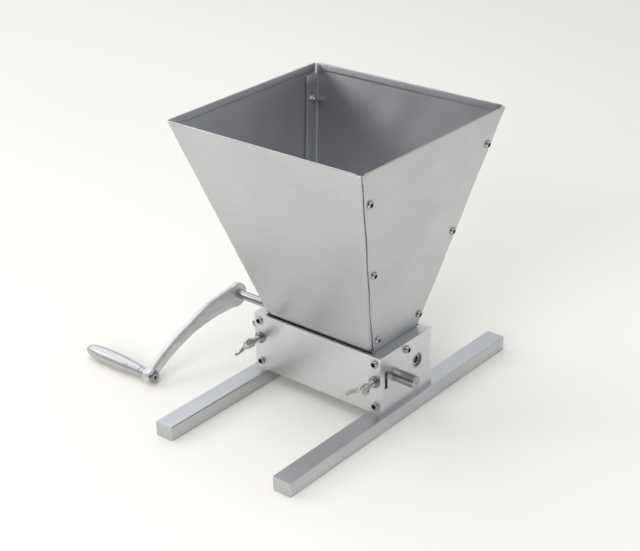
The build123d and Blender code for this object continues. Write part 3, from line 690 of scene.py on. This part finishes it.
def roller(name, y, body, shaft, node):
    """One roller with its shaft, which is a list of turned shapes along X."""
    placed = aim((0, y, AXIS_Z), (1, 0, 0))
    build = Build()
    build.tube(barrel_rings(), (0, 0, -ROLLER_HALF), (0, 0, ROLLER_HALF), placed)
    piece(build, name, body, roller_metal, [node], 25)
    build = Build()
    for profile in shaft:
        lathe(build, soft_profile(profile, size=0.35), placed)
    piece(build, name + "_shaft", body, shaft_metal)


def drive_shaft():
    """Left journal, right journal with its centre hole, and the long crank shaft."""
    crank_end = CRANK_X - 4.0
    left_journal = [
        (LEFT_JOURNAL_END, 0), (LEFT_JOURNAL_END, JOURNAL - SHAFT_CHAMFER),
        (LEFT_JOURNAL_END + SHAFT_CHAMFER, JOURNAL), (-CORE_X, JOURNAL), (-CORE_X, 0)]
    right_journal = [
        (CORE_X, 0), (CORE_X, JOURNAL), (RIGHT_JOURNAL_END - SHAFT_CHAMFER, JOURNAL),
        (RIGHT_JOURNAL_END, JOURNAL - RIGHT_JOURNAL_CHAMFER), (RIGHT_JOURNAL_END, CENTRE_HOLE),
        (CENTRE_HOLE_FLOOR, CENTRE_HOLE - 0.2), (CENTRE_HOLE_TIP, 0)]
    crank_shaft = [
        (crank_end, 0), (crank_end, CRANK_SHAFT - SHAFT_CHAMFER),
        (crank_end + SHAFT_CHAMFER, CRANK_SHAFT), (-HALF_WIDTH, CRANK_SHAFT), (-HALF_WIDTH, 0)]
    return [left_journal, right_journal, crank_shaft]


def idler_shaft():
    """A journal and a free stub on each side; the right stub's end has a centre mark."""
    left = [
        (LEFT_STUB_END, 0), (LEFT_STUB_END, STUB - SHAFT_CHAMFER), (LEFT_STUB_END + SHAFT_CHAMFER, STUB),
        (-IDLER_SHOULDER, STUB), (-IDLER_SHOULDER, IDLER_JOURNAL), (-CORE_X, IDLER_JOURNAL), (-CORE_X, 0)]
    right = [
        (CORE_X, 0), (CORE_X, IDLER_JOURNAL), (IDLER_SHOULDER, IDLER_JOURNAL), (IDLER_SHOULDER, STUB),
        (RIGHT_STUB_END - SHAFT_CHAMFER, STUB), (RIGHT_STUB_END, STUB - SHAFT_CHAMFER),
        (RIGHT_STUB_END, STUB_CENTRE), (RIGHT_STUB_END - STUB_CENTRE_DEPTH, 0)]
    return [left, right]


roller("drive_knurled_roller", ROLLER_Y, "drive", drive_shaft(), "drive_roller")
roller("idler_knurled_roller", -ROLLER_Y, "idler", idler_shaft(), "idler_roller")


# ---- adjusting screws -----------------------------------------------------------------------------
THREAD_END_Y = -28.25         # where the thread ends and the captive tip's neck begins
THREAD_RADIUS, THREAD_PITCH = 2.95, 1.0
HUB_Y = -FACE_Y - 12.0        # where the wings' hub begins
WING_LAYERS = ((-1.7, 0.30), (-1.3, 0.06), (-0.5, 0.0), (0.5, 0.0), (1.3, 0.06), (1.7, 0.30))
WING_FACE = 1.75              # half the wings' thickness in their middle


def wing_outline():
    """One wing in its own plane: across, and away from the thread."""
    return [(0.0, 0.6), (3.0, 0.9), (6.0, 2.6), (9.0, 6.0), (11.2, 9.2), (12.6, 12.0), (12.95, 14.6),
            (12.3, 16.4), (10.9, 16.8), (9.2, 15.6), (7.2, 12.6), (4.6, 9.8), (2.4, 8.9), (0.0, 8.6)]


def wing_head(name, x, turn, body, node):
    """Hub and two wings, cast as one. Each layer of a wing is drawn in a little towards its middle."""
    angle = radians(turn)
    placed = Matrix(((cos(angle), sin(angle), 0, x), (0, 0, -1, HUB_Y),
                     (sin(angle), -cos(angle), 0, AXIS_Z), (0, 0, 0, 1)))
    build = Build()
    lathe(build, [(-0.4, 0), (-0.4, 4.2), (0.6, 4.6), (8.4, 3.9), (9.4, 2.6), (9.5, 0)], placed, 48)
    outline = wing_outline()
    middle_x = sum(p[0] for p in outline) / len(outline)
    middle_z = sum(p[1] for p in outline) / len(outline)
    for hand in (-1, 1):
        rings = []
        for level, inset in WING_LAYERS:
            rings.append([(hand * (a + (middle_x - a) * inset), level, b + (middle_z - b) * inset)
                          for a, b in outline])
        middle = hand * middle_x
        build.tube(rings, (middle, -WING_FACE, middle_z), (middle, WING_FACE, middle_z), placed)
    head = piece(build, name, body, wing_metal, [node], 60)
    cast_together(head, voxel=0.22, passes=24)


def wing_thread(name, x, body):
    """Threaded rod from the hub inwards, with a neck and a captive tip at its end."""
    build = Build()
    rod = aim((x, THREAD_END_Y, AXIS_Z), (0, -1, 0))
    threaded_rod(build, rod, THREAD_RADIUS, 0.0, THREAD_END_Y - HUB_Y, THREAD_PITCH, 32)
    tip = [(-4.1, 0), (-4.1, 2.5), (-3.8, 2.8), (-2.8, 2.8), (-2.5, 2.5), (-2.5, 1.8), (0.1, 1.8), (0.1, 0)]
    lathe(build, tip, rod, 32)
    piece(build, name, body, bright_metal, smooth_angle=40)


wing_head("left_wing_head", -SCREW_X, 52, "left_screw", "left_wing_screw")
wing_thread("left_wing_thread", -SCREW_X, "left_screw")
wing_head("right_wing_head", SCREW_X, 18, "right_screw", "right_wing_screw")
wing_thread("right_wing_thread", SCREW_X, "right_screw")


# ---- crank ----------------------------------------------------------------------------------------
HUB_DROP = 2.3                # how far the hub's rounded end is centred below the shaft
HUB_RADIUS, HUB_HALF = 12.8, 3.0
EYE_RADIUS, EYE_HALF = 6.8, 4.5
ARM_STEPS, ARM_SIDES = 60, 32
ARM_EASE = 0.4                # how much the arm's width lingers at each station
ARM_SQUARE, ARM_SQUARE_LOSS = 4.5, 1.8        # exponent of its section: 2 is an ellipse, more is squarer
GRIP_SCREW = {"head": 6.4, "height": 3.0, "shank": 3.0, "length": 12.0, "socket": 3.0}
GRIP_ROD_RADIUS, GRIP_ROD_LENGTH = 3.0, 50.0
GRIP_BORE_RADIUS, GRIP_BORE_LENGTH = 3.05, 59.0


def arm_path(t):
    """Centre line of the crank arm in Y and Z, from the hub at 0 to the eye at 1."""
    knots = [(16.45, 44.7), (-16.0, 43.0), (-51.0, 34.8), (-81.0, 22.8), (-107.0, 8.0)]
    place = t * (len(knots) - 1)
    k = min(int(place), len(knots) - 2)
    return between_knots(knots, k, place - k)


def arm_section(t):
    """Width and thickness of the arm: a broad blade at the hub, narrower and thicker at the eye."""
    stations = [(25.4, 6.0), (20.5, 6.2), (14.2, 7.0), (13.5, 7.5), (12.3, 8.0)]
    place = t * (len(stations) - 1)
    k = min(int(place), len(stations) - 2)
    f = place - k
    eased = f * f * (3 - 2 * f) * ARM_EASE + f * (1 - ARM_EASE)
    width, thick = stations[k]
    next_width, next_thick = stations[k + 1]
    return width + (next_width - width) * eased, thick + (next_thick - thick) * eased


def arm_ring(t):
    """Section of the arm at t: a rounded rectangle, which gets rounder towards the eye."""
    here = arm_path(t)
    tangent = (arm_path(min(1, t + 0.01)) - arm_path(max(0, t - 0.01))).normalized()
    width, thick = arm_section(t)
    power = 2 / (ARM_SQUARE - ARM_SQUARE_LOSS * t)
    ring = []
    for j in range(ARM_SIDES):
        c, s = cos(2 * pi * j / ARM_SIDES), sin(2 * pi * j / ARM_SIDES)
        a = copysign(abs(c) ** power, c) * width / 2
        b = copysign(abs(s) ** power, s) * thick / 2
        ring.append((CRANK_X + b, here.x - tangent.y * a, here.y + tangent.x * a))
    return ring


def crank_arm():
    """Curved arm with a round hub, a raised ring about the shaft, and an eye for the grip's bolt."""
    build = Build()
    rings = [arm_ring(k / ARM_STEPS) for k in range(ARM_STEPS + 1)]
    build.tube(rings, (CRANK_X, *arm_path(0)), (CRANK_X, *arm_path(1)))
    hub = aim((CRANK_X, ROLLER_Y, AXIS_Z - HUB_DROP), (1, 0, 0))
    lathe(build, soft_profile(disc(HUB_RADIUS, -HUB_HALF, HUB_HALF), size=1.0), hub)
    raised = aim((CRANK_X, ROLLER_Y, AXIS_Z), (1, 0, 0))
    lathe(build, soft_profile([(2.0, 0), (2.0, 7.6), (3.6, 7.2), (3.6, 0)], size=0.3), raised)
    eye = aim((CRANK_X, GRIP_Y, GRIP_Z), (1, 0, 0))
    lathe(build, soft_profile(disc(EYE_RADIUS, -EYE_HALF, EYE_HALF), size=1.0), eye)
    arm = piece(build, "crank_curved_arm", "drive", crank_metal, ["crank_arm"], 60)
    cast_together(arm, voxel=0.55, passes=8)


def grip_bolt():
    """Bolt through the eye, whose plain rod carries the grip."""
    build = Build()
    head = aim((CRANK_X + EYE_HALF, GRIP_Y, GRIP_Z), (1, 0, 0), 0.3)
    button_screw(build, head, **GRIP_SCREW, dark_socket=False)
    rod = aim((GRIP_START - 1, GRIP_Y, GRIP_Z), (-1, 0, 0))
    lathe(build, disc(GRIP_ROD_RADIUS, 0, GRIP_ROD_LENGTH), rod)
    piece(build, "grip_socket_bolt", "drive", bolt_metal, ["grip_bolt"])


def grip_collar():
    """Slim collar between the eye and the grip, with a groove round its middle."""
    build = Build()
    profile = [(-0.2, 0), (-0.2, 4.9), (2.6, 4.9), (3.0, 4.4), (3.6, 4.4), (4.0, 4.9), (7.1, 4.9), (7.1, 0)]
    placed = aim((CRANK_X - EYE_HALF, GRIP_Y, GRIP_Z), (-1, 0, 0))
    lathe(build, soft_profile(profile, size=0.2), placed)
    piece(build, "grip_turned_collar", "drive", grip_metal, ["grip_collar"], 40)


def grip():
    """Turned spindle grip with a rounded nose, and a bore for the bolt's rod."""
    knots = [(0.0, 5.2), (0.14, 6.1), (0.30, 7.1), (0.48, 7.5), (0.65, 7.4), (0.80, 6.9), (0.90, 6.0),
             (0.96, 4.7), (0.99, 3.2), (1.0, 0.6)]
    profile = [(GRIP_BORE_LENGTH, 0.0), (GRIP_BORE_LENGTH, GRIP_BORE_RADIUS), (0.0, GRIP_BORE_RADIUS),
               (0.0, 4.7), (0.4, 5.2)]
    for k in range(len(knots) - 1):
        for j in range(1, 9):
            place = between_knots(knots, k, j / 8)
            profile.append((place.x * GRIP_LENGTH, max(0.3, place.y)))
    profile.append((GRIP_LENGTH, 0.0))
    build = Build()
    lathe(build, profile, aim((GRIP_START, GRIP_Y, GRIP_Z), (-1, 0, 0)), 72)
    piece(build, "crank_turned_grip", "grip", grip_metal, ["crank_grip"], 40)


crank_arm()
grip_bolt()
grip_collar()
grip()


# ---- CAD nodes that stay --------------------------------------------------------------------------
KEPT_NODES = (
    (bar_metal, 0.7, ("left_base_bar", "right_base_bar")),
    # the front and back plates take the lighter copy of the plate aluminium, painted light
    (plate_x_painted_lighter, 0.3, ("front_plate", "back_plate")),
    (plate_y, 0.35, ("left_end_plate", "right_end_plate")),
    (plate_y, 0.2, ("left_sliding_block", "right_sliding_block")),
    (bearing_metal, 0.2, ("left_drive_bush", "right_drive_bush", "drive_roller_washers",
                          "idler_roller_washers")),
    (boss_metal, 0.15, ("adjuster_bosses", "hopper_mount_nuts", "crank_set_screw")),
    (shaft_metal, 0.1, ("grip_ring",)),
)

for material, edge_width, names in KEPT_NODES:
    for name in names:
        nodes[name].data.materials.clear()
        nodes[name].data.materials.append(material)
        soften_edges(nodes[name], edge_width, 3)


# ---- floor, light and camera ----------------------------------------------------------------------
# from here on, places and sizes are in metres
FLOOR_HALF = 30.0
FLOOR_Z = -0.0002             # just below the bars, so that the two don't flicker
CAMERA_YAW, CAMERA_PITCH, CAMERA_ROLL = radians(40.9), radians(26.2), radians(-1.8)
CAMERA_PLACE = (0.7442, -0.88786, 0.68783)
SENSOR_WIDTH, LENS = 36.0, 79.52


def floor_piece():
    """Plain pale floor with a faint cloudiness."""
    made, tree, shader = node_setup("floor_pale")
    place = add(tree, "ShaderNodeTexCoord").outputs["Object"]
    cloud = add(tree, "ShaderNodeTexNoise", {"Vector": place, "Scale": 3.0, "Detail": 2.0}).outputs["Fac"]
    tint = add(tree, "ShaderNodeMix", {0: cloud, 6: (0.79, 0.77, 0.73, 1), 7: (0.81, 0.79, 0.75, 1)},
               data_type="RGBA")
    tree.links.new(tint.outputs[2], shader.inputs["Base Color"])
    shader.inputs["Roughness"].default_value = 0.75
    corners = [(x * FLOOR_HALF, y * FLOOR_HALF, 0) for x, y in ((-1, -1), (1, -1), (1, 1), (-1, 1))]
    mesh = bpy.data.meshes.new("floor")
    mesh.from_pydata(corners, [], [(0, 1, 2, 3)])
    obj = bpy.data.objects.new("floor", mesh)
    bpy.context.scene.collection.objects.link(obj)
    mesh.materials.append(made)
    obj.location.z = FLOOR_Z


def area(name, place, target, size, power, gloss=True):
    """A soft box; one without gloss lights the floor but makes no highlight on metal."""
    light = bpy.data.lights.new(name, "AREA")
    light.shape = "RECTANGLE"
    light.size, light.size_y = size
    light.energy = power
    obj = bpy.data.objects.new(name, light)
    bpy.context.scene.collection.objects.link(obj)
    obj.location = place
    obj.rotation_euler = (Vector(target) - Vector(place)).to_track_quat("-Z", "Y").to_euler()
    obj.visible_glossy = gloss


def studio_world():
    """Soft light from all round, brighter from above and behind the mill."""
    world = bpy.data.worlds.new("studio")
    bpy.context.scene.world = world
    world.use_nodes = True
    tree = world.node_tree
    lit_side = Vector((-0.20, 0.85, 0.50)).normalized()
    direction = add(tree, "ShaderNodeTexCoord").outputs["Generated"]
    facing = add(tree, "ShaderNodeVectorMath", {0: direction, 1: lit_side}, operation="DOT_PRODUCT")
    level = ramp(tree, facing.outputs["Value"], -0.5, 0.95, 0.10, 0.76)
    background = tree.nodes["Background"]
    background.inputs["Color"].default_value = (0.95, 0.97, 1.0, 1)
    tree.links.new(level, background.inputs["Strength"])


def add_camera():
    """Camera in front, to the right and above, with a small roll."""
    back = Vector((sin(CAMERA_YAW) * cos(CAMERA_PITCH), -cos(CAMERA_YAW) * cos(CAMERA_PITCH),
                   sin(CAMERA_PITCH)))
    right = Vector((cos(CAMERA_YAW), sin(CAMERA_YAW), 0))
    up = back.cross(right)
    rolled_right = right * cos(CAMERA_ROLL) + up * sin(CAMERA_ROLL)
    rolled_up = up * cos(CAMERA_ROLL) - right * sin(CAMERA_ROLL)
    turned = Matrix((rolled_right, rolled_up, back)).transposed().to_4x4()
    data = bpy.data.cameras.new("camera")
    data.sensor_width = SENSOR_WIDTH
    data.sensor_fit = "HORIZONTAL"
    data.lens = LENS
    camera = bpy.data.objects.new("camera", data)
    bpy.context.scene.collection.objects.link(camera)
    camera.matrix_world = Matrix.Translation(Vector(CAMERA_PLACE)) @ turned
    bpy.context.scene.camera = camera


floor_piece()
area("key_left", (-2.3, 0.3, 2.3), (0, 0, 0.0), (3.0, 3.0), 28)
area("fill_front", (0.5, -2.9, 1.5), (0, 0, 0.0), (2.4, 1.6), 78, gloss=False)
area("key_front", (-2.5, -1.6, 1.5), (0, 0, 0.1), (1.0, 1.0), 17)
area("top", (0.4, -0.6, 3.0), (0, 0, 0.0), (3.4, 3.4), 42)
studio_world()
bpy.context.scene.view_settings.view_transform = "Standard"
add_camera()
